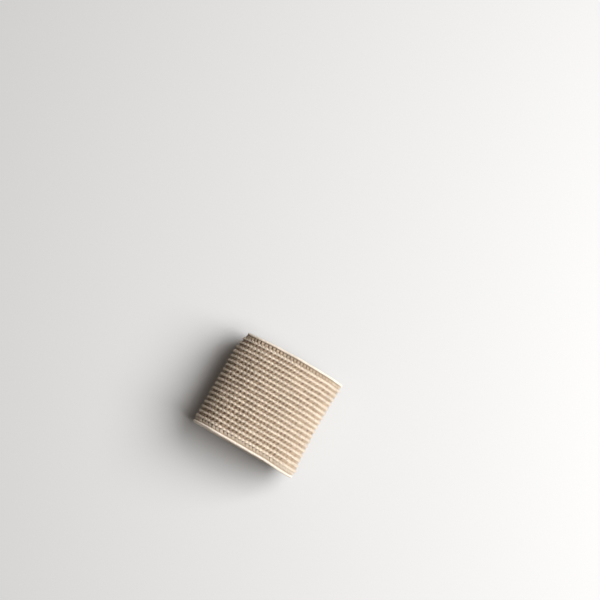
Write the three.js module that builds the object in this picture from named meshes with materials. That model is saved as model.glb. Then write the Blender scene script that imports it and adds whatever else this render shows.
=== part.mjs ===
// Elastic wrist support: an open oval sleeve of ribbed knit with a corded edge at each end.
// It lies on one broad side, pressed flat where it rests.
// Millimetres. +X runs across the sleeve, +Y along it towards the narrower end, +Z up.
// The origin is on the resting surface, under the middle of the sleeve's length and width.

import * as THREE from "three";
import { LoftGeometry } from "three/addons/geometries/LoftGeometry.js";

// Driving dimensions
const SLEEVE_LENGTH = 62;
const RIB_COUNT = 18;
const RIB_PITCH = 3.09;
const RIB_CREST_WIDTH = 1.3;
const GROOVE_DEPTH = 0.75;
const KNIT_THICKNESS = 2.1; // from a rib's crest to the inside of the wall
const EDGE_GAP = 0.3; // between the ribbed wall and each corded edge
const REST_HALF_WIDTH = 12; // half of the strip that is pressed flat
const WIDEST_LEVEL = 0.46; // share of the height at which a section is widest
const CORNER_FULLNESS = 0.58; // 0.55 gives a true ellipse, and more is squarer

// Sections across the sleeve, on the rib crests: how far each side stands from the middle, and the height.
const SECTIONS = [
  { along: -31, left: 33.4, right: 32.8, top: 46.0 },
  { along: -27, left: 33.4, right: 33.4, top: 46.2 },
  { along: -20, left: 33.1, right: 32.7, top: 46.0 },
  { along: -8, left: 33.1, right: 32.3, top: 45.4 },
  { along: 8, left: 33.2, right: 32.1, top: 44.8 },
  { along: 20, left: 32.9, right: 32.2, top: 44.2 },
  { along: 26, left: 31.8, right: 32.4, top: 43.4 },
  { along: 31, left: 30.6, right: 32.3, top: 42.2 },
];

// The cord along each rim: how far back from the sleeve's end, and how deep below the rib crests.
const CORD_PROFILE = [
  { fromRim: 1.75, depth: 0.9 },
  { fromRim: 1.25, depth: 0.35 },
  { fromRim: 0.5, depth: 0.25 },
  { fromRim: 0.0, depth: 0.8 },
  { fromRim: 0.0, depth: 1.6 },
  { fromRim: 0.6, depth: 2.0 },
];
const EDGE_STRIP_DEPTH = 0.9; // the thin strip between the last rib and the cord
const EDGE_INNER_DEPTH = 2.0;

// Facets of each stretch of a section, and steps along the plain inner face.
const REST_FACETS = 7;
const LOWER_SIDE_FACETS = 10;
const UPPER_SIDE_FACETS = 14;
const INNER_FACE_STEPS = 8;

const ribFieldHalf = (RIB_COUNT * RIB_PITCH) / 2;
const rimHalf = SLEEVE_LENGTH / 2;
const edgeStart = ribFieldHalf + EDGE_GAP;

// The table as smooth curves along the sleeve.
const sectionCurves = new THREE.CubicInterpolant(
  SECTIONS.map((row) => row.along),
  SECTIONS.flatMap((row) => [row.left, row.right, row.top]),
  3,
);

// The sleeve's outline in the plane across its length, taken in by "depth" below the rib crests.
function outline(along, depth) {
  const [leftReach, rightReach, height] = sectionCurves.evaluate(along);
  const left = depth - leftReach;
  const right = rightReach - depth;
  const top = height - depth;
  const middle = height * WIDEST_LEVEL;
  const rest = REST_HALF_WIDTH;
  const full = CORNER_FULLNESS;
  const rise = full * (middle - depth);
  const crown = full * (top - middle);
  const path = new THREE.Path();
  path.moveTo(rest, depth);
  path.lineTo(-rest, depth);
  path.bezierCurveTo(-rest + full * (left + rest), depth, left, middle - rise, left, middle);
  path.bezierCurveTo(left, middle + crown, full * left, top, 0, top);
  path.bezierCurveTo(full * right, top, right, middle + crown, right, middle);
  path.bezierCurveTo(right, middle - rise, rest + full * (right - rest), depth, rest, depth);
  return path;
}

// A closed ring of points round the sleeve, evenly spaced along each stretch of the outline.
function ring({ along, depth }) {
  const facets = [
    REST_FACETS,
    LOWER_SIDE_FACETS,
    UPPER_SIDE_FACETS,
    UPPER_SIDE_FACETS,
    LOWER_SIDE_FACETS,
  ];
  return outline(along, depth).curves.flatMap((stretch, index) => {
    const points = stretch.getSpacedPoints(facets[index]).slice(0, -1);
    return points.map((p) => new THREE.Vector3(p.x, along, p.y));
  });
}

// A wall whose cut face follows the profile, carried round the sleeve and closed on itself.
function wallGeometry(profile) {
  const rings = profile.map(ring);
  return new LoftGeometry([...rings, rings[0]]);
}

// The outer face rib by rib from the wider end to the narrower end, then the plain inner face back again.
function ribbedProfile() {
  const profile = [{ along: -ribFieldHalf, depth: GROOVE_DEPTH }];
  for (let rib = 0; rib < RIB_COUNT; rib += 1) {
    const crest = -ribFieldHalf + (rib + 0.5) * RIB_PITCH;
    profile.push({ along: crest - RIB_CREST_WIDTH / 2, depth: 0 });
    profile.push({ along: crest + RIB_CREST_WIDTH / 2, depth: 0 });
    profile.push({ along: crest + RIB_PITCH / 2, depth: GROOVE_DEPTH });
  }
  for (let step = 0; step <= INNER_FACE_STEPS; step += 1) {
    const along = THREE.MathUtils.lerp(ribFieldHalf, -ribFieldHalf, step / INNER_FACE_STEPS);
    profile.push({ along, depth: KNIT_THICKNESS });
  }
  return profile;
}

// The corded edge at one end: "end" is 1 at the narrower end and -1 at the wider end.
function edgeProfile(end) {
  const profile = [
    { along: edgeStart, depth: EDGE_STRIP_DEPTH },
    ...CORD_PROFILE.map((row) => ({ along: rimHalf - row.fromRim, depth: row.depth })),
    { along: edgeStart, depth: EDGE_INNER_DEPTH },
  ];
  const placed = profile.map((point) => ({ along: end * point.along, depth: point.depth }));
  return end > 0 ? placed : placed.reverse();
}

function knit(name, color) {
  return new THREE.MeshStandardMaterial({ name, color, roughness: 0.95, metalness: 0 });
}

function piece(name, profile, material) {
  const mesh = new THREE.Mesh(wallGeometry(profile), material);
  mesh.name = name;
  return mesh;
}

const ribKnit = knit("rib_knit", 0xdcc6ac);
const edgeKnit = knit("edge_knit", 0xf0dcc4);

const wristSupport = new THREE.Group();
wristSupport.add(
  piece("ribbed_sleeve", ribbedProfile(), ribKnit),
  piece("hand_edge", edgeProfile(1), edgeKnit),
  piece("forearm_edge", edgeProfile(-1), edgeKnit),
);

export default wristSupport;
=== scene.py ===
"""Looks of an elastic wrist support: a ribbed knit sleeve that lies on one broad side.

Each yarn is a short tube laid on the sleeve. A place on the sleeve is three numbers: the share of the way
round it (0 underneath, where it rests, a quarter on the right and a half on top), the place along it towards
the hand edge, and the depth below the rib crests. Lengths are millimetres, and the meshes metres.
"""
import math

import bpy
import numpy as np
from mathutils import Matrix, Vector


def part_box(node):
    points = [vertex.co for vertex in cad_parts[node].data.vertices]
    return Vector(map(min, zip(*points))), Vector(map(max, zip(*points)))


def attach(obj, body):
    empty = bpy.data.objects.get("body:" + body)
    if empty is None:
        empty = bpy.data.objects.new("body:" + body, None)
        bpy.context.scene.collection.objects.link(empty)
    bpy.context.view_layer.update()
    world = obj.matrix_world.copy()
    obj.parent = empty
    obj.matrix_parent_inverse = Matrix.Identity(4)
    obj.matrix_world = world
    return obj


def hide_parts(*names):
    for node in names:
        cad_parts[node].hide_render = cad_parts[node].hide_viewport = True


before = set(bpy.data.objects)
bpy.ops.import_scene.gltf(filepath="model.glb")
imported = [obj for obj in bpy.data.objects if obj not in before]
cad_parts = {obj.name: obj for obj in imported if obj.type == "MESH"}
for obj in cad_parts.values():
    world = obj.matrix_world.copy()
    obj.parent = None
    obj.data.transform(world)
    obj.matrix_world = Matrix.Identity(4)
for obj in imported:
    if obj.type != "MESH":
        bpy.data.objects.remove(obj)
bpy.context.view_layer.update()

MM = 0.001
SEED = 4004
draw = np.random.default_rng(SEED)


def table(columns, rows):
    """A short table whose columns are read by name."""
    return dict(zip(columns.split(), np.array(rows, float).T))


# The sleeve, as its solids are made
RIB_COUNT = 18
RIB_PITCH = 3.09
KNIT_THICKNESS = 2.1  # from a rib's crest to the inside of the wall
REST_HALF_WIDTH = 12.0  # half of the strip that is pressed flat
WIDEST_LEVEL = 0.46  # share of the height at which a section is widest
CORNER_FULLNESS = 0.58  # 0.55 gives a true ellipse, and more is squarer
RIM_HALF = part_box("hand_edge")[1].y / MM
RIB_FIELD_HALF = RIB_COUNT * RIB_PITCH / 2
SECTIONS = table(
    "along left right top",
    [
        (-31, 33.4, 32.8, 46.0),
        (-27, 33.4, 33.4, 46.2),
        (-20, 33.1, 32.7, 46.0),
        (-8, 33.1, 32.3, 45.4),
        (8, 33.2, 32.1, 44.8),
        (20, 32.9, 32.2, 44.2),
        (26, 31.8, 32.4, 43.4),
        (31, 30.6, 32.3, 42.2),
    ],
)


def section_curve(column, along):
    """Cubic through one column of SECTIONS: the slope at a row is the mean of the slopes on its two sides."""
    at = SECTIONS["along"]
    value = SECTIONS[column]
    rise = np.diff(value) / np.diff(at)
    slope = np.concatenate([rise[:1], (rise[:-1] + rise[1:]) / 2, rise[-1:]])
    row = np.clip(np.searchsorted(at, along, side="right") - 1, 0, len(at) - 2)
    step = at[row + 1] - at[row]
    p = (along - at[row]) / step
    start = (1 + 2 * p) * (1 - p) ** 2 * value[row] + p * (1 - p) ** 2 * step * slope[row]
    end = (3 - 2 * p) * p**2 * value[row + 1] - (1 - p) * p**2 * step * slope[row + 1]
    return start + end


def bezier(points, t):
    """Cubic Bezier: four control points, each rows by (x, z), weighted by Bernstein's terms of t."""
    weights = np.stack([(1 - t) ** 3, 3 * t * (1 - t) ** 2, 3 * t**2 * (1 - t), t**3])
    return np.einsum("kt,krc->rtc", weights, np.stack(points))


def crest_outlines(along, samples=90):
    """Outline of the rib crests at each place along the sleeve: half the flat rest, the right side up to the
    top and the left side down again as cubic Beziers, and the other half of the rest."""
    left = -section_curve("left", along)
    right = section_curve("right", along)
    top = section_curve("top", along)
    middle = top * WIDEST_LEVEL
    zero = np.zeros_like(top)
    rest = zero + REST_HALF_WIDTH
    full = CORNER_FULLNESS
    rise = middle * (1 - full)
    crown = middle + full * (top - middle)

    def at(x, z):
        """One control point for each row."""
        return np.stack([x, z], axis=-1)

    stretches = [
        [at(zero, zero), at(rest / 3, zero), at(rest * 2 / 3, zero), at(rest, zero)],
        [at(rest, zero), at(rest + full * (right - rest), zero), at(right, rise), at(right, middle)],
        [at(right, middle), at(right, crown), at(full * right, top), at(zero, top)],
        [at(zero, top), at(full * left, top), at(left, crown), at(left, middle)],
        [at(left, middle), at(left, rise), at(-rest + full * (left + rest), zero), at(-rest, zero)],
        [at(-rest, zero), at(-rest * 2 / 3, zero), at(-rest / 3, zero), at(zero, zero)],
    ]
    t = np.linspace(0, 1, samples, endpoint=False)
    return np.concatenate([bezier(points, t) for points in stretches], axis=1)


def unit(vectors):
    """Vectors along the last axis, each divided by its length."""
    return vectors / np.linalg.norm(vectors, axis=-1, keepdims=True)


def sleeve_grids(rows=125, columns=720):
    """The crest surface and its outward direction on a grid of rows along the sleeve by even shares of the
    girth, and the girth of each row. Outward is square to the row and to the line along the sleeve."""
    along = np.linspace(-RIM_HALF, RIM_HALF, rows)
    outline = crest_outlines(along)
    closed = np.concatenate([outline, outline[:, :1]], axis=1)
    step = np.linalg.norm(np.diff(closed, axis=1), axis=-1)
    walked = np.concatenate([np.zeros((rows, 1)), np.cumsum(step, axis=1)], axis=1)
    girth = walked[:, -1]
    share = np.linspace(0, 1, columns + 1)
    even = np.array(
        [
            [np.interp(share * girth[row], walked[row], closed[row, :, axis]) for axis in (0, 1)]
            for row in range(rows)
        ]
    )
    crest = np.stack([even[:, 0], np.broadcast_to(along[:, None], even[:, 0].shape), even[:, 1]], axis=-1)
    ahead = np.roll(crest[:, :-1], -1, axis=1) - np.roll(crest[:, :-1], 1, axis=1)
    ahead = np.concatenate([ahead, ahead[:, :1]], axis=1)
    outward = unit(np.cross(np.gradient(crest, along, axis=0), ahead))
    return crest, outward, girth


CREST, OUTWARD, GIRTH = sleeve_grids()
MEAN_GIRTH = GIRTH.mean()


def read_grid(grid, share, along):
    """Value of a sleeve grid at any share and place: the four nearest grid values, weighted by nearness."""
    rows, columns = grid.shape[0] - 1, grid.shape[1] - 1
    row = np.clip((along + RIM_HALF) / (2 * RIM_HALF), 0, 1) * rows
    column = (share % 1.0) * columns
    row_low = np.minimum(row.astype(int), rows - 1)
    column_low = np.minimum(column.astype(int), columns - 1)
    row_part = (row - row_low)[..., None]
    column_part = (column - column_low)[..., None]
    low = grid[row_low, column_low] * (1 - column_part) + grid[row_low, column_low + 1] * column_part
    high = grid[row_low + 1, column_low] * (1 - column_part) + grid[row_low + 1, column_low + 1] * column_part
    return low * (1 - row_part) + high * row_part


# How the cloth lies
SLACK = 0.36  # most that the cloth stands in or out from its even form
SLACK_FULL_HEIGHT = 15.0  # above the resting surface, where the cloth is as slack as it gets
SLACK_WAVES = table(
    "size turns drift start",
    [
        (1, 5, 0.07, 0),
        (1, 8, -0.11, 2),
        (1, 13, 0.05, 0),
    ],
)
RIM_SWAY = 0.15
SWAY_FADE = 3  # power of the distance from the sleeve's middle
SWAY_WAVES = table(
    "size turns drift start",
    [
        (1, 2, 0, 0.4),
        (0.7, 5, 0, 1.3),
        (0.5, 9, 0, 0),
    ],
)
FOREARM_SWAY_TURN = 2.4  # radians by which the waves at that rim lie further round
RIM_DRAWN = table(  # where a rim is drawn along the sleeve, the share that this spreads over, and by how much
    "end share spread reach",
    [
        (1, 0.66, 0.09, -0.60),
        (-1, 0.31, 0.09, -1.00),
    ],
)


def waves(rows, share, place=0.0):
    """Sines round the sleeve, added by size and brought between -1 and 1. Each makes so many turns, drifts
    with the place along the sleeve or with the number of a row, and has a start of its own."""
    turn = 2 * np.pi * share
    total = 0.0
    for size, turns, drift, start in zip(*rows.values()):
        total = total + size * np.sin(turns * turn + drift * place + start)
    return total / rows["size"].sum()


def sway(share, along):
    """How far the cloth is drawn along the sleeve: waves round each rim and one bell-shaped pull on a side of
    it, which fade towards the sleeve's middle."""
    turned = share + np.where(along > 0, 0.0, FOREARM_SWAY_TURN / (2 * np.pi))
    drawn = RIM_SWAY * waves(SWAY_WAVES, turned)
    for end, middle, spread, reach in zip(*RIM_DRAWN.values()):
        bell = np.exp(-(((share % 1.0) - middle) / spread) ** 2)
        drawn = drawn + np.where(end * along > 0, reach, 0.0) * bell
    return drawn * (np.abs(along) / RIM_HALF) ** SWAY_FADE


def on_sleeve(share, along, depth):
    """Points on the sleeve: the crest surface's point, taken in along its outward direction by the depth and,
    away from the surface that it rests on, by the waves of its slack, and drawn along it by its sway."""
    share, along, depth = np.broadcast_arrays(share, along, depth)
    point = read_grid(CREST, share, along)
    lifted = np.clip(point[..., 2] / SLACK_FULL_HEIGHT, 0, 1) ** 2
    taken_in = depth + SLACK * waves(SLACK_WAVES, share, along) * lifted
    point = point - taken_in[..., None] * read_grid(OUTWARD, share, along)
    point[..., 1] += along - np.clip(along, -RIM_HALF, RIM_HALF) + sway(share, along)
    return point


def rough(shape, size):
    """Seeded unevenness, a normal spread of the given size cut off at twice that."""
    return np.clip(draw.normal(0, size, shape), -2 * size, 2 * size)


def between(least, most, shape):
    """Seeded values spread evenly between the two."""
    return least + (most - least) * draw.random(shape)


# The rows of stitches
STITCH_COUNT = 66
STRETCH = 0.17  # how much longer the stitches are at the sleeve's two sides, beside the mean
LEAST_STRETCHED = 0.475  # share of the girth
COLUMN_LEAN = 0.35  # how far the stitches of each next rib stand back, in stitches
ROW_UNEVEN = 0.12  # in stitches
ROW_SHIFT = rough(RIB_COUNT, ROW_UNEVEN)
RIB_WANDER = 0.10
RIB_WAVES = table(
    "size turns drift start",
    [
        (1, 3, 0.5, 0),
        (0.7, 7, -0.9, 0),
        (0.5, 13, 1.7, 0),
    ],
)
MOST_OPEN = 0.60  # share of the girth
MEAN_OPEN = 0.38
PULLED_OPEN = 0.40
UNEVEN_OPEN = 0.22
LEAST_OPEN = 0.2
OPEN_WAVES = table(
    "size turns drift start",
    [
        (1, 5, 0.7, 0),
        (1, 11, -1.9, 0),
    ],
)


def rib_middle(rib, share):
    """Place along the sleeve of a rib's middle line: even pitch, and a wander of three sines round the sleeve
    that changes slowly from rib to rib."""
    place = -RIB_FIELD_HALF + (rib + 0.5) * RIB_PITCH
    return place + RIB_WANDER * waves(RIB_WAVES, share, rib)


def stitch_length(share):
    """Length of a stitch: the mean, less a cosine with two turns round the sleeve, so that the stitches are
    short on top and underneath, and long at its two sides."""
    return MEAN_GIRTH / STITCH_COUNT * (1 - STRETCH * np.cos(4 * np.pi * (share - LEAST_STRETCHED)))


def stitch_share(row, stitch):
    """Share of the girth of a place that is counted in stitches. Each row is moved by the columns' lean and a
    little of its own, and the sine spaces the stitches by their lengths."""
    own = np.interp(row, np.arange(RIB_COUNT), ROW_SHIFT)
    even = (stitch - COLUMN_LEAN * row + own) / STITCH_COUNT
    return even - STRETCH / (4 * np.pi) * np.sin(4 * np.pi * (even - LEAST_STRETCHED))


def openness(row, share):
    """How open the knit is, up to 1: a cosine that is most on the left of the top, with two slow waves round
    the sleeve that move on from row to row, cut off where the knit is as close as it gets."""
    pulled = np.cos(2 * np.pi * (share - MOST_OPEN))
    opened = MEAN_OPEN + PULLED_OPEN * pulled + UNEVEN_OPEN * waves(OPEN_WAVES, share, row)
    return np.clip(opened, LEAST_OPEN, 1)


def numbered(*counts):
    """Every combination of so many rows, stitches and so on: the number of each, as a column."""
    grids = np.meshgrid(*[np.arange(count) for count in counts], indexing="ij")
    return [grid.reshape(-1, 1) for grid in grids]


def make_piece(name, points, faces, material, attributes):
    """One smooth mesh from points in millimetres, faces, and a vector for each point in every attribute."""
    mesh = bpy.data.meshes.new(name)
    mesh.from_pydata((points * MM).tolist(), [], faces)
    mesh.polygons.foreach_set("use_smooth", np.ones(len(mesh.polygons), bool))
    for key, values in attributes.items():
        layer = mesh.attributes.new(key, "FLOAT_VECTOR", "POINT")
        layer.data.foreach_set("vector", values.astype(np.float32).ravel())
    mesh.materials.append(material)
    piece = bpy.data.objects.new(name, mesh)
    bpy.context.scene.collection.objects.link(piece)
    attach(piece, "root")
    return piece


def yarn_faces(yarns, rings, sides):
    """Faces of many tubes: quads between each two rings, and a fan of triangles on the point at each end."""
    ring, side = np.meshgrid(np.arange(rings - 1), np.arange(sides), indexing="ij")
    following = (side + 1) % sides
    here = 1 + ring * sides
    quads = np.stack([here + side, here + sides + side, here + sides + following, here + following], axis=-1)
    k = np.arange(sides)
    after = (k + 1) % sides
    last = 1 + (rings - 1) * sides
    start = np.stack([0 * k, 1 + k, 1 + after], axis=-1)
    end = np.stack([0 * k + last + sides, last + after, last + k], axis=-1)
    offset = np.arange(yarns)[:, None, None] * (rings * sides + 2)
    quads = (quads.reshape(1, -1, 4) + offset).reshape(-1, 4)
    fans = (np.concatenate([start, end])[None] + offset).reshape(-1, 3)
    return quads.tolist() + fans.tolist()


def yarn_frame(centre, out):
    """Two directions square to a yarn at each step: aside in the sleeve's surface, and up out of it."""
    ahead = unit(np.gradient(centre, axis=1))
    aside = unit(np.cross(ahead, out))
    return aside, np.cross(aside, ahead)


PLY_SIZE = 0.58  # of the whole yarn
PLY_APART = 0.44
PLY_UNEVEN = 0.4  # radians


def two_plies(centre, out, half_width, half_height, shade_depth, winds):
    """Each yarn as two plies that wind round each other: a ply stands off the yarn's middle by PLY_APART of
    the yarn's size, at an angle that grows along the yarn, and the second ply is half a turn on. Halfway
    along the yarn they lie side by side."""
    aside, up = yarn_frame(centre, out)
    yarns, steps = half_width.shape
    angle = 2 * np.pi * winds * np.linspace(-0.5, 0.5, steps) + rough((yarns, 1), PLY_UNEVEN)
    side_step = PLY_APART * half_width * np.cos(angle)
    rise = PLY_APART * half_height * np.sin(angle)
    stand_off = side_step[..., None] * aside + rise[..., None] * up
    # The higher ply gets less painted shade and the lower ply more.
    return (
        np.concatenate([centre + stand_off, centre - stand_off]),
        np.concatenate([out, out]),
        PLY_SIZE * np.concatenate([half_width, half_width]),
        PLY_SIZE * np.concatenate([half_height, half_height]),
        np.concatenate([shade_depth - rise, shade_depth + rise]),
    )


def lay_yarns(name, material, share, along, depth, half_width, half_height,
              shade_depth=None, core=None, sides=6, winds=0.0):
    """Many short yarns as one mesh. Share, along and depth have a row for each yarn and a column for each
    step along it; the first and last steps are its tips. Round each other step is an ellipse, half_width
    wide in the sleeve's surface and half_height out of it, or out from the core that the yarns wrap.
    The depth that sets a yarn's painted shade is how far its middle lies below the face that it shows on,
    and is the depth unless given; the deeper it lies, the darker the painted shade in its colour.
    Winds is how many turns a yarn's two plies make, and 0 makes it one strand.
    The yarns are pressed flat on the surface that the sleeve rests on. Each point keeps its place on its
    yarn, the yarn's tint and the depth that sets its painted shade."""
    share, along, depth, half_width, half_height, shade_depth = np.broadcast_arrays(
        share, along, depth, half_width, half_height, depth if shade_depth is None else shade_depth
    )
    centre = on_sleeve(share, along, depth)
    out = read_grid(OUTWARD, share, along) if core is None else unit(centre - on_sleeve(share, *core))
    if winds:
        plies = two_plies(centre, out, half_width, half_height, shade_depth, winds)
        centre, out, half_width, half_height, shade_depth = plies
    aside, up = yarn_frame(centre, out)
    angle = 2 * np.pi * np.arange(sides) / sides
    body = slice(1, -1)
    wide = half_width[:, body, None] * np.cos(angle)
    high = half_height[:, body, None] * np.sin(angle)
    ring = centre[:, body, None] + wide[..., None] * aside[:, body, None]
    ring = ring + high[..., None] * up[:, body, None]
    yarns, rings = ring.shape[:2]

    def whole_yarn(first, rest, last):
        """Vectors at the first tip, round every ring and at the last tip, yarn after yarn."""
        parts = [first[:, None], rest.reshape(yarns, -1, 3), last[:, None]]
        return np.concatenate(parts, axis=1).reshape(-1, 3)

    length = np.cumsum(np.linalg.norm(np.diff(centre, axis=1, prepend=centre[:, :1]), axis=-1), axis=1)
    round_yarn = np.stack(np.broadcast_arrays(length[:, body, None], np.cos(angle), np.sin(angle)), axis=-1)
    tips = np.zeros((yarns, 2, 3))
    tips[..., 0] = length[:, [0, -1]]

    tint = draw.random((yarns, 1))
    # Painted shade: the shade depth less the height on the ring, so a yarn is paler on top and darker
    # underneath.
    shade = np.stack(np.broadcast_arrays(tint[..., None], shade_depth[:, body, None] - high, 0.0), axis=-1)
    shade_tips = np.stack(np.broadcast_arrays(tint, shade_depth[:, [0, -1]], 0.0), axis=-1)
    attributes = {
        "fibre": whole_yarn(tips[:, 0], round_yarn, tips[:, 1]),
        "shade": whole_yarn(shade_tips[:, 0], shade, shade_tips[:, 1]),
    }
    points = whole_yarn(centre[:, 0], ring, centre[:, -1])
    points[:, 2] = np.maximum(points[:, 2], 0)
    return make_piece(name, points, yarn_faces(yarns, rings, sides), material, attributes)


# One leg of a chain stitch, step by step: how far on along the rib in stitches, and how far beside its middle
LEG = table(
    "onward aside depth half_width",
    [
        (-0.25, 0.04, 1.10, 0.20),
        (-0.07, 0.10, 0.84, 0.27),
        (0.20, 0.22, 0.50, 0.37),
        (0.52, 0.36, 0.36, 0.43),
        (0.82, 0.44, 0.44, 0.40),
        (1.04, 0.44, 0.76, 0.31),
        (1.14, 0.42, 1.08, 0.20),
    ],
)
LEG_UNEVEN = {"onward": 0.04, "spread": 0.07, "aside": 0.03, "width": 0.06, "depth": 0.04}
LEG_WINDS = 0.85
LEAST_DIP = 0.25  # of the leg's own fall from its top
OPEN_DIP = 1.2  # more of it where the knit is open


def rib_stitches(name, side, material):
    """One leg of each chain stitch, on the rib's side towards the hand edge (1) or the forearm edge (-1):
    from low at the rib's middle, up over the crest and outwards, then down beside the next stitch. Its ends
    dip more where the knit is open, so that the stitches there stand apart like beads."""
    rib, stitch = numbered(RIB_COUNT, STITCH_COUNT)
    share = stitch_share(rib, stitch + LEG["onward"] + rough(rib.shape, LEG_UNEVEN["onward"]))
    aside = LEG["aside"] * (1 + rough(rib.shape, LEG_UNEVEN["spread"]))
    aside = aside + rough(rib.shape, LEG_UNEVEN["aside"])
    half_width = LEG["half_width"] * (1 + rough(rib.shape, LEG_UNEVEN["width"]))
    highest = LEG["depth"].argmin()
    top = LEG["depth"][highest]
    dip = LEAST_DIP + OPEN_DIP * openness(rib, share[:, [highest]])
    return lay_yarns(
        name,
        material,
        share=share,
        along=rib_middle(rib, share) + side * aside,
        depth=top + (LEG["depth"] - top) * dip + rough(rib.shape, LEG_UNEVEN["depth"]),
        half_width=half_width,
        half_height=half_width,
        winds=LEG_WINDS,
    )


BUNCH = 4  # fine yarns that lie side by side at a stitch
BUNCH_OVERLAP = 1.12  # a fine yarn's width, beside its even share of the bunch
FINE_FLATNESS = 0.8  # height of a fine yarn, beside its width


def bunched(covered):
    """How far each yarn of a bunch lies beside the bunch's middle, and half its width, in stitches: the yarns
    share evenly, and a little over, what the bunch covers of its stitch."""
    place = (np.arange(len(covered))[:, None] % BUNCH - (BUNCH - 1) / 2) / BUNCH
    return place * covered, BUNCH_OVERLAP / 2 * covered / BUNCH


GROOVE_STEPS = 6
GROOVE_COVER = 0.97  # of each stitch
GROOVE_OPENING = 0.50  # how much less is covered where the knit is open
GROOVE_TUCK = 0.50  # from a rib's middle to the end of a bunch under it
GROOVE_DEPTH = 0.91
GROOVE_ARCH = 0.25  # how much deeper the ends lie than the middle
GROOVE_OPEN_DEPTH = 0.16
DEEP_BUNCHES = 1 / 9
DEEPER_BY = 0.14
GROOVE_SHADE_DEPTH = 1.14  # depth that sets its painted shade, near the full deep colour, all along the bunch
GROOVE_UNEVEN = {"place": 0.07, "beside": 0.015, "bunch_depth": 0.06, "depth": 0.04, "width": 0.08}


def groove_yarns(material):
    """A bunch of fine yarns across each groove at every stitch, from under one rib to under the next, arched
    by a parabola. It is narrower and lies deeper where the knit is open, and one bunch in nine lies so deep
    that the holes beside it run together."""
    row, stitch, _ = numbered(RIB_COUNT - 1, STITCH_COUNT, BUNCH)
    bunches = len(row) // BUNCH
    t = np.linspace(0, 1, GROOVE_STEPS)
    place = stitch + 0.5 + np.repeat(rough((bunches, 1), GROOVE_UNEVEN["place"]), BUNCH, axis=0)
    middle = stitch_share(row + 0.5, place)
    open_here = openness(row, middle)
    beside, half_stitch = bunched(GROOVE_COVER - GROOVE_OPENING * open_here)
    share = stitch_share(row + t, place + beside + rough(row.shape, GROOVE_UNEVEN["beside"]))
    low = rib_middle(row, share) + GROOVE_TUCK
    high = rib_middle(row + 1, share) - GROOVE_TUCK
    deep = DEEPER_BY * (draw.random((bunches, 1)) < DEEP_BUNCHES)
    deep = deep + rough((bunches, 1), GROOVE_UNEVEN["bunch_depth"])
    depth = GROOVE_DEPTH + GROOVE_ARCH * (2 * t - 1) ** 2 + GROOVE_OPEN_DEPTH * open_here
    depth = depth + np.repeat(deep, BUNCH, axis=0) + rough(row.shape, GROOVE_UNEVEN["depth"])
    uneven_width = 1 + rough(row.shape, GROOVE_UNEVEN["width"])
    half_width = half_stitch * stitch_length(middle) * uneven_width * np.ones_like(t)
    return lay_yarns(
        "groove_yarns",
        material,
        share=share,
        along=low + (high - low) * t,
        depth=depth,
        half_width=half_width,
        half_height=FINE_FLATNESS * half_width,
        shade_depth=GROOVE_SHADE_DEPTH,
        sides=5,
    )


BACKS_PER_STITCH = 4
BACK_STEPS = np.array([-1, -0.45, 0.45, 1])
BACK_LEAN = 0.18  # in stitches, from its middle to its end
BACK_REACH = 0.95  # along the sleeve, from its middle to its end
BACK_ASIDE = 0.25  # from the rib's middle, in rib pitches
BACK_DEPTH = 1.80
BACK_ARCH = 0.30
BACK_HALF_WIDTH = 0.37
BACK_FLATNESS = 0.66
BACK_UNEVEN = {"place": 0.02, "depth": 0.04, "width": 0.07}


def inner_yarns(material):
    """The backs of the stitches on the inner face: a column of small V shapes behind each rib, four to a
    stitch. A leg of a V is one short slanted yarn on one side of the rib's middle, arched by a parabola."""
    rib, stitch, strand, side = numbered(RIB_COUNT, STITCH_COUNT, BACKS_PER_STITCH, 2)
    side = 2 * side - 1
    t = BACK_STEPS
    place = stitch + strand / BACKS_PER_STITCH + BACK_LEAN * side * t
    share = stitch_share(0, place + rough(rib.shape, BACK_UNEVEN["place"]))
    depth = BACK_DEPTH - BACK_ARCH * t**2 + rough(rib.shape, BACK_UNEVEN["depth"])
    half_width = BACK_HALF_WIDTH * (1 + rough(rib.shape, BACK_UNEVEN["width"])) * np.ones_like(t)
    return lay_yarns(
        "inner_yarns",
        material,
        share=share,
        along=rib_middle(rib, share) + BACK_ASIDE * RIB_PITCH * side + BACK_REACH * t,
        depth=depth,
        half_width=half_width,
        half_height=BACK_FLATNESS * half_width,
        shade_depth=KNIT_THICKNESS - depth,
        sides=5,
    )


STRAY_COUNT = 8000
STRAY_STEPS = 5
STRAY_HALF_WIDTH = 0.022
STRAY_LEAST_HEIGHT = 4.0  # above the surface that the sleeve rests on
STRAY_SPREAD = 0.35  # beside a rib's middle
STRAY_CURL = 1.2  # radians
STRAY_LENGTH = (0.7, 1.6)
STRAY_ROOT_DEPTH = 0.15
STRAY_LIFT = (0.25, 0.60)
STRAY_BEND = 0.75 * np.pi  # how much of a sine the fibre rises and falls by


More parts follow.
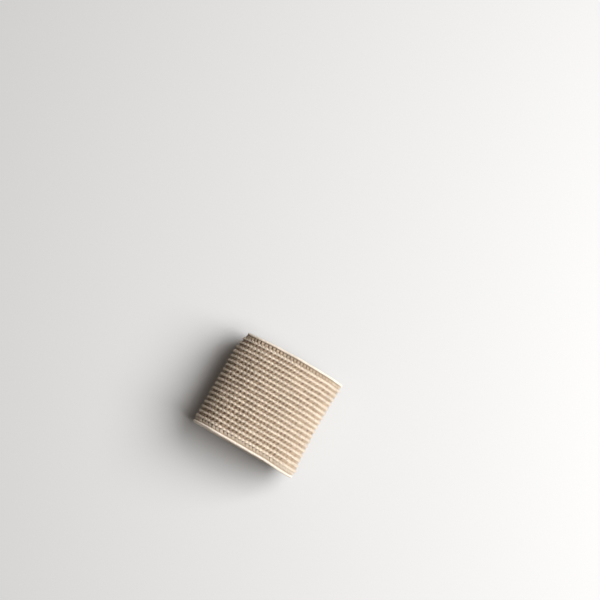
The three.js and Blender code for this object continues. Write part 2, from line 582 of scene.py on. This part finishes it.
def stray_fibres(material):
    """Fine fibres that stand off the rib yarns: each leaves a rib, runs out on a heading that turns evenly,
    and rises and bends over in the air as a sine does."""
    share = draw.random((STRAY_COUNT, 1))
    rib = draw.integers(0, RIB_COUNT, (STRAY_COUNT, 1))
    start = rib_middle(rib, share) + rough(share.shape, STRAY_SPREAD)
    clear = on_sleeve(share, start, 0.0)[:, 0, 2] > STRAY_LEAST_HEIGHT
    share, start = share[clear], start[clear]
    t = np.linspace(0, 1, STRAY_STEPS)
    heading = 2 * np.pi * draw.random(share.shape)
    heading = heading + rough(share.shape, STRAY_CURL) * t
    way = between(*STRAY_LENGTH, share.shape) * t
    return lay_yarns(
        "stray_fibres",
        material,
        share=share + way * np.cos(heading) / MEAN_GIRTH,
        along=start + way * np.sin(heading),
        depth=STRAY_ROOT_DEPTH - between(*STRAY_LIFT, share.shape) * np.sin(STRAY_BEND * t),
        half_width=STRAY_HALF_WIDTH,
        half_height=STRAY_HALF_WIDTH,
        shade_depth=0.0,
        sides=3,
    )


GIRTH_STEPS = 180  # faces of each wall round the sleeve


def closed_wall(name, along, depth, material):
    """A closed wall: a cut face of (along, depth) points carried round the sleeve, each point a ring."""
    share = np.arange(GIRTH_STEPS) / GIRTH_STEPS
    points = on_sleeve(share[None, :], along[:, None], depth[:, None])
    cut = len(along)
    here, step = np.meshgrid(np.arange(cut), np.arange(GIRTH_STEPS), indexing="ij")
    beyond = (here + 1) % cut
    onward = (step + 1) % GIRTH_STEPS
    corners = [(here, step), (beyond, step), (beyond, onward), (here, onward)]
    faces = np.stack([ring * GIRTH_STEPS + place for ring, place in corners], axis=-1).reshape(-1, 4)
    weave = np.broadcast_arrays(share[None, :] * MEAN_GIRTH, along[:, None], depth[:, None])
    attributes = {"weave": np.stack(weave, axis=-1).reshape(-1, 3)}
    return make_piece(name, points.reshape(-1, 3), faces.tolist(), material, attributes)


GROUND_LOW = 1.30  # depth between the ribs
GROUND_RISE = 0.56  # how much higher it is under a rib
GROUND_INNER = 1.62
GROUND_RIB_STEPS = 8
GROUND_INNER_STEPS = 36


def ground_wall(material):
    """The elastic ground under the stitches: a squared wave outside, which is high under each rib and low
    between the ribs, and a plain face inside."""
    outer = np.linspace(-RIB_FIELD_HALF, RIB_FIELD_HALF, RIB_COUNT * GROUND_RIB_STEPS + 1)
    wave = (1 - np.cos(2 * np.pi * (outer + RIB_FIELD_HALF) / RIB_PITCH)) / 2
    inner = np.linspace(RIB_FIELD_HALF, -RIB_FIELD_HALF, GROUND_INNER_STEPS + 1)
    along = np.concatenate([outer, inner])
    depth = np.concatenate([GROUND_LOW - GROUND_RISE * wave**2, np.full_like(inner, GROUND_INNER)])
    return closed_wall("ribbed_sleeve_ground", along, depth, material)


# Corded edges. "End" is 1 at the hand edge and -1 at the forearm edge.
CORD_FROM_RIM = 1.0
CORD_DEPTH = 1.0
CORD_RADIUS = 0.70
CORD_STEPS = 12
CORD_ROUND = 150  # degrees of the cord's circle, to each side of the rim
STRIP_FROM_RIBS = 0.02
STRIP_FROM_CORD = 0.05
STRIP_DEPTH_AT_CORD = 1.20


def edge_ground(name, end, material):
    """The ground of a corded edge: a thin strip from the ribs to the rim, with a round cord along it."""
    turn = np.radians(np.linspace(CORD_ROUND, -CORD_ROUND, CORD_STEPS + 1))
    cord_along = RIM_HALF - CORD_FROM_RIM + CORD_RADIUS * np.cos(turn)
    cord_depth = CORD_DEPTH - CORD_RADIUS * np.sin(turn)
    at_ribs = RIB_FIELD_HALF + STRIP_FROM_RIBS
    at_cord = RIM_HALF - CORD_FROM_RIM - CORD_RADIUS - STRIP_FROM_CORD
    along = np.concatenate([[at_ribs, at_cord], cord_along, [at_ribs]])
    depth = np.concatenate([[GROUND_LOW, STRIP_DEPTH_AT_CORD], cord_depth, [GROUND_INNER]])
    if end < 0:
        along, depth = -along[::-1], depth[::-1]
    return closed_wall(name, along, depth, material)


WRAP_COUNT = 5 * STITCH_COUNT
WRAP_STEPS = 9
WRAP_ROUND = 165  # degrees round the cord, to each side of the rim
WRAP_LEAN = 0.9  # in wraps, from its middle to its end
WRAP_LIFT = 0.02  # off the cord
WRAP_HALF_WIDTH = 0.34
WRAP_FLATNESS = 0.62
WRAP_SHADE_DEPTH = {1: 0.45, -1: 0.3}  # depth that sets the painted shade all along the wrap, more at the hand edge than at the forearm edge
WRAP_UNEVEN = {"place": 0.08, "width": 0.08, "radius": 0.03}


def cord_wraps(name, end, material):
    """Slanted yarns wrapped side by side round the cord, each most of a circle from the strip over the rim to
    the inner face."""
    (wrap,) = numbered(WRAP_COUNT)
    t = np.linspace(-1, 1, WRAP_STEPS)
    turn = np.radians(-WRAP_ROUND * t)
    middle = end * (RIM_HALF - CORD_FROM_RIM)
    share = (wrap + WRAP_LEAN * end * t + rough(wrap.shape, WRAP_UNEVEN["place"])) / WRAP_COUNT
    half_width = WRAP_HALF_WIDTH * (1 + rough(wrap.shape, WRAP_UNEVEN["width"])) * np.ones_like(t)
    radius = CORD_RADIUS + WRAP_LIFT + rough(wrap.shape, WRAP_UNEVEN["radius"])
    return lay_yarns(
        name,
        material,
        share=share,
        along=middle + end * radius * np.cos(turn),
        depth=CORD_DEPTH - radius * np.sin(turn),
        half_width=half_width,
        half_height=WRAP_FLATNESS * half_width,
        shade_depth=WRAP_SHADE_DEPTH[end],
        core=(middle, CORD_DEPTH),
        sides=5,
    )


STRAND_STEPS = 6
STRAND_TUCK = 0.45  # from the last rib's middle to the start of a strand
STRAND_FROM_RIM = 1.45
STRAND_COVER = {1: 0.70, -1: 0.76}  # of each stitch, at the openness given next
STRAND_OPENNESS = 0.6
STRAND_OPENING = 0.3  # how much less is covered where the knit is more open
STRAND_LEAN = 0.45  # in stitches
STRAND_OUTER_DEPTH = 0.86
STRAND_INNER_DEPTH = 1.74
STRAND_ARCH = 0.30  # how far the ends dip from the face that they show on
STRAND_SHADE_DEPTH = {1: 0.2, -1: 0.0}  # added to the strand's depth for its painted shade, which is darker at the hand edge
STRAND_UNEVEN = {"place": 0.03, "width": 0.1, "depth": 0.05}


def edge_strands(name, end, material):
    """Slanted fine yarns between the last rib and the cord, arched by a parabola: at each stitch a bunch on
    the outer face, narrower where the knit is open, and as many side by side on the inner face."""
    inside, stitch, _ = numbered(2, STITCH_COUNT, BUNCH)
    t = np.linspace(0, 1, STRAND_STEPS)
    rib = (RIB_COUNT - 1) * (1 + end) / 2
    middle = stitch_share(rib, stitch)
    start = rib_middle(rib, middle) + end * STRAND_TUCK
    finish = end * (RIM_HALF - STRAND_FROM_RIM)
    outside = STRAND_COVER[end] + STRAND_OPENING * (STRAND_OPENNESS - openness(rib, middle))
    beside, half_stitch = bunched(np.where(inside, 1.0, outside))
    place = stitch + beside + STRAND_LEAN * end * t
    share = stitch_share(rib, place + rough(stitch.shape, STRAND_UNEVEN["place"]))
    uneven_width = 1 + rough(stitch.shape, STRAND_UNEVEN["width"])
    half_width = half_stitch * stitch_length(middle) * uneven_width * np.ones_like(t)
    dip = STRAND_ARCH * (2 * t - 1) ** 2 + rough(stitch.shape, STRAND_UNEVEN["depth"])
    depth = np.where(inside, STRAND_INNER_DEPTH - dip, STRAND_OUTER_DEPTH + dip)
    return lay_yarns(
        name,
        material,
        share=share,
        along=start + (finish - start) * t,
        depth=depth,
        half_width=half_width,
        half_height=FINE_FLATNESS * half_width,
        shade_depth=np.where(inside, KNIT_THICKNESS - depth, depth + STRAND_SHADE_DEPTH[end]),
        sides=5,
    )


class Finish:
    """A material with its Principled shader, and short ways to add and join nodes."""

    def __init__(self, name):
        self.material = bpy.data.materials.new(name)
        self.material.use_nodes = True
        self.tree = self.material.node_tree
        self.shader = self.tree.nodes["Principled BSDF"]

    def feed(self, socket, value):
        """Join a node's output to the socket, or set a plain value on it."""
        if isinstance(value, bpy.types.NodeSocket):
            self.tree.links.new(value, socket)
        else:
            socket.default_value = value

    def node(self, kind, inputs, **settings):
        """A new node with its settings and inputs."""
        made = self.tree.nodes.new("ShaderNode" + kind)
        for key, value in settings.items():
            setattr(made, key, value)
        for key, value in inputs.items():
            self.feed(made.inputs[key], value)
        return made

    def math(self, operation, first, second=0.0):
        """The result of a sum, product, sine and so on."""
        return self.node("Math", {0: first, 1: second}, operation=operation).outputs[0]

    def sum(self, *terms):
        """Each term is a value and how much of it is added."""
        total = 0.0
        for value, weight in terms:
            total = self.math("ADD", self.math("MULTIPLY", value, weight), total)
        return total

    def attribute(self, name):
        """A point attribute as a vector, and its three numbers."""
        vector = self.node("Attribute", {}, attribute_name=name).outputs["Vector"]
        return vector, self.node("SeparateXYZ", {0: vector}).outputs

    def noise(self, vector, scale, detail):
        """Cloudy unevenness from 0 to 1."""
        inputs = {"Vector": vector, "Scale": scale, "Detail": detail}
        return self.node("TexNoise", inputs).outputs["Fac"]

    def mix(self, share, first, second):
        """A colour between two, by the share."""
        inputs = {"Factor": share, "A": (*first, 1), "B": (*second, 1)}
        return self.node("Mix", inputs, data_type="RGBA").outputs["Result"]

    def bump(self, height, strength, distance):
        """A normal that is bent by a height."""
        inputs = {"Strength": strength, "Distance": distance, "Height": height}
        return self.node("Bump", inputs).outputs["Normal"]

    def shader_values(self, **values):
        """Values on the shader, with a low line for each space in a socket's name."""
        for key, value in values.items():
            self.feed(self.shader.inputs[key.replace("_", " ")], value)


TWIST = 1.6  # how far the fibres turn round the yarn, in radians for each millimetre
TWIST_PLIES = 3.0
FIBRE_PACE = 0.4  # how fast the fibres change along the yarn
YARNS_APART = 40.0  # so that no two yarns have the same fibres
UNSHADED_DEPTH = 0.15  # depth at which a yarn has its pale colour, with no painted shade
FULL_SHADE_DEPTH = 1.1  # depth at which it has its deep colour, the full painted shade
# The ply term in the tone is painted shade: darker in the valleys between the plies.
YARN_TONE = {"least": 0.58, "tint": 0.14, "ply": 0.05, "fibres": 0.5, "blotch": 0.2}
YARN_RELIEF = {"ply": 0.5, "fibres": 1.6}


def yarn_finish(name, pale, deep):
    """Spun yarn of three plies: fibres that wind round it, as noise read on a turned circle. Its colour goes
    from pale on the crests to deep in the grooves, by how deep the yarn lies: painted shade."""
    finish = Finish(name)
    _, (length, across, out) = finish.attribute("fibre")
    _, (tint, shade_depth, _) = finish.attribute("shade")
    turned = finish.sum((finish.math("ARCTAN2", out, across), 1.0), (length, TWIST))
    ply = finish.math("SINE", finish.math("MULTIPLY", turned, TWIST_PLIES))
    wound = finish.node(
        "CombineXYZ",
        {
            0: finish.math("COSINE", turned),
            1: finish.math("SINE", turned),
            2: finish.sum((length, FIBRE_PACE), (tint, YARNS_APART)),
        },
    )
    fibres = finish.noise(wound.outputs[0], scale=5.0, detail=4.0)
    place = finish.node("TexCoord", {}).outputs["Object"]
    blotch = finish.noise(place, scale=90.0, detail=2.0)

    # Painted shade: the deeper a yarn lies, the more of the deep colour it takes.
    reach = {"Value": shade_depth, "From Min": UNSHADED_DEPTH, "From Max": FULL_SHADE_DEPTH}
    depth = finish.node("MapRange", reach).outputs["Result"]
    light = finish.sum(
        (tint, YARN_TONE["tint"]),
        (ply, YARN_TONE["ply"]),
        (fibres, YARN_TONE["fibres"]),
        (blotch, YARN_TONE["blotch"]),
    )
    light = finish.math("ADD", light, YARN_TONE["least"])
    colours = {0: finish.mix(depth, pale, deep), "Scale": light}
    tone = finish.node("VectorMath", colours, operation="SCALE").outputs["Vector"]

    height = finish.sum((ply, YARN_RELIEF["ply"]), (fibres, YARN_RELIEF["fibres"]))
    normal = finish.bump(height, strength=0.8, distance=0.00012)
    finish.shader_values(Base_Color=tone, Normal=normal, Roughness=0.92)
    finish.shader_values(Sheen_Weight=0.30, Sheen_Roughness=0.5, Specular_IOR_Level=0.2)
    return finish.material


THREAD_SPACING = 0.5
CROSSING_SPACING = 0.42
THREAD_BEND = 2.0  # radians by which unevenness moves a thread
CROSSING_SLANT = 0.5
GROUND_RELIEF = {"covered": 0.7, "crossing": 0.2, "uneven": 0.4}
# The ground's tone follows its relief: painted shade where it is low.
GROUND_TONE = {"height": 0.8, "uneven": 0.3}
GROUND_DARK = 0.5  # of the ground's colour, as painted shade between the threads
GROUND_LIGHT = 1.5  # of the ground's colour, on the raised threads


def ground_finish(name, colour):
    """Elastic ground: fine covered threads that run round the sleeve, crossed by finer ones, both as sines,
    uneven in tone, and darker between the threads as painted shade."""
    finish = Finish(name)
    weave, (round_sleeve, along, _) = finish.attribute("weave")
    uneven = finish.noise(weave, scale=1.3, detail=3.0)
    bent = finish.sum((along, 2 * math.pi / THREAD_SPACING), (uneven, THREAD_BEND))
    covered = finish.math("ABSOLUTE", finish.math("SINE", bent))
    slanted = finish.sum((round_sleeve, 2 * math.pi / CROSSING_SPACING), (bent, CROSSING_SLANT))
    crossing = finish.math("SINE", slanted)
    height = finish.sum(
        (covered, GROUND_RELIEF["covered"]),
        (crossing, GROUND_RELIEF["crossing"]),
        (uneven, GROUND_RELIEF["uneven"]),
    )
    lightness = finish.sum((height, GROUND_TONE["height"]), (uneven, GROUND_TONE["uneven"]))
    dark = [GROUND_DARK * part for part in colour]
    light = [GROUND_LIGHT * part for part in colour]
    normal = finish.bump(height, strength=0.9, distance=0.0002)
    finish.shader_values(Base_Color=finish.mix(lightness, dark, light), Normal=normal, Roughness=0.9)
    return finish.material


# The pale colours are the yarns' own; the deep colours are painted shade for grooves and undersides.
rib_yarn = yarn_finish("rib_yarn", pale=(0.795, 0.678, 0.55), deep=(0.36, 0.255, 0.158))
edge_yarn = yarn_finish("edge_yarn", pale=(0.79, 0.705, 0.60), deep=(0.41, 0.30, 0.197))
# The elastic ground's colour is partly its own tan and partly painted shade, dark for the holes between the
# groove yarns.
ground = ground_finish("elastic_ground", (0.165, 0.105, 0.064))
# The hand edge's ground is darker and the forearm edge's lighter: painted shade and painted light for how the
# key light falls on the two edges.
shaded_hand_base = ground_finish("hand_edge_ground", (0.21, 0.145, 0.094))
lit_forearm_base = ground_finish("forearm_edge_ground", (0.42, 0.31, 0.22))

wall = ground_wall(ground)
on_wall = [
    rib_stitches("rib_stitches_hand_side", 1, rib_yarn),
    rib_stitches("rib_stitches_forearm_side", -1, rib_yarn),
    groove_yarns(rib_yarn),
    inner_yarns(rib_yarn),
    stray_fibres(rib_yarn),
]
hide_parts("ribbed_sleeve")
for edge, end, base_finish in (("hand_edge", 1, shaded_hand_base), ("forearm_edge", -1, lit_forearm_base)):
    base = edge_ground(edge + "_ground", end, base_finish)
    wraps = cord_wraps(edge + "_cord", end, edge_yarn)
    strands = edge_strands(edge + "_strands", end, edge_yarn)
    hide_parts(edge)
    on_wall += [base, wraps, strands]


# Floor and lights, in metres
FLOOR_HALF = 3.0
FLOOR_DROP = 0.00002  # just clear of the sleeve
FLOOR_GREY = (0.50, 0.50, 0.50, 1)
STUDIO_TINT = (1.0, 0.87, 0.76, 1)
STUDIO_STRENGTH = 0.15


def make_floor():
    """A plain pale floor just under the sleeve."""
    mesh = bpy.data.meshes.new("floor")
    corners = [(-1, -1), (1, -1), (1, 1), (-1, 1)]
    mesh.from_pydata([(x * FLOOR_HALF, y * FLOOR_HALF, -FLOOR_DROP) for x, y in corners], [], [(0, 1, 2, 3)])
    finish = Finish("pale_floor")
    finish.shader_values(Base_Color=FLOOR_GREY, Roughness=0.9)
    mesh.materials.append(finish.material)
    floor = bpy.data.objects.new("floor", mesh)
    bpy.context.scene.collection.objects.link(floor)


def add_light(name, azimuth, elevation, distance, size, watts):
    """A square soft light that faces the sleeve. Azimuth turns from +X towards +Y, in degrees."""
    light = bpy.data.lights.new(name, "AREA")
    light.size = size
    light.energy = watts
    lamp = bpy.data.objects.new(name, light)
    a, e = math.radians(azimuth), math.radians(elevation)
    away = Vector((math.cos(a) * math.cos(e), math.sin(a) * math.cos(e), math.sin(e)))
    lamp.location = away * distance
    lamp.rotation_mode = "QUATERNION"
    lamp.rotation_quaternion = away.to_track_quat("Z", "Y")
    bpy.context.scene.collection.objects.link(lamp)


def light_studio():
    """A weak warm light that is even all round, and colours shown plainly."""
    world = bpy.data.worlds.new("studio")
    world.use_nodes = True
    background = world.node_tree.nodes["Background"]
    background.inputs["Color"].default_value = STUDIO_TINT
    background.inputs["Strength"].default_value = STUDIO_STRENGTH
    bpy.context.scene.world = world
    bpy.context.scene.view_settings.view_transform = "Standard"


# Camera, in millimetres
PICTURE_PIXELS = 600
PIXEL_MM = 0.580  # at the sleeve's middle
SLEEVE_PIXEL = (269.0, 402.8)  # where the sleeve's middle falls
MIDDLE_HEIGHT = 33.0
SLEEVE_TURN = 29.75  # degrees clockwise from the picture's vertical to the sleeve's length
VIEW_LEAN = 2.6  # degrees that the eye stands off the sleeve's upright, towards the forearm edge
EYE_DISTANCE = 1200.0
SENSOR = 36.0
FARTHEST_SEEN = 100.0  # metres


def make_camera():
    """The eye stands EYE_DISTANCE from the sleeve's middle, leaning towards the forearm edge, and is turned
    so that the sleeve's middle falls on its place in the picture and its length on its slope."""
    data = bpy.data.cameras.new("camera")
    data.sensor_width = SENSOR
    data.lens = SENSOR * EYE_DISTANCE / (PICTURE_PIXELS * PIXEL_MM)
    data.clip_end = FARTHEST_SEEN
    camera = bpy.data.objects.new("camera", data)
    half = PICTURE_PIXELS / 2
    across = (SLEEVE_PIXEL[0] - half) * PIXEL_MM
    above = (half - SLEEVE_PIXEL[1]) * PIXEL_MM
    towards_sleeve = Vector((across, above, -EYE_DISTANCE)).normalized()
    aim = towards_sleeve.rotation_difference(Vector((0, 0, -1))).to_matrix()
    lean = Matrix.Rotation(math.radians(VIEW_LEAN), 3, "X")
    turn = lean @ Matrix.Rotation(math.radians(SLEEVE_TURN), 3, "Z")
    eye = Vector((0, 0, MIDDLE_HEIGHT)) + turn @ Vector((0, 0, EYE_DISTANCE))
    camera.matrix_world = Matrix.Translation(eye * MM) @ (turn @ aim).to_4x4()
    bpy.context.scene.collection.objects.link(camera)
    bpy.context.scene.camera = camera


make_floor()
add_light("key", azimuth=27, elevation=54, distance=1.2, size=1.0, watts=31.5)
light_studio()
make_camera()
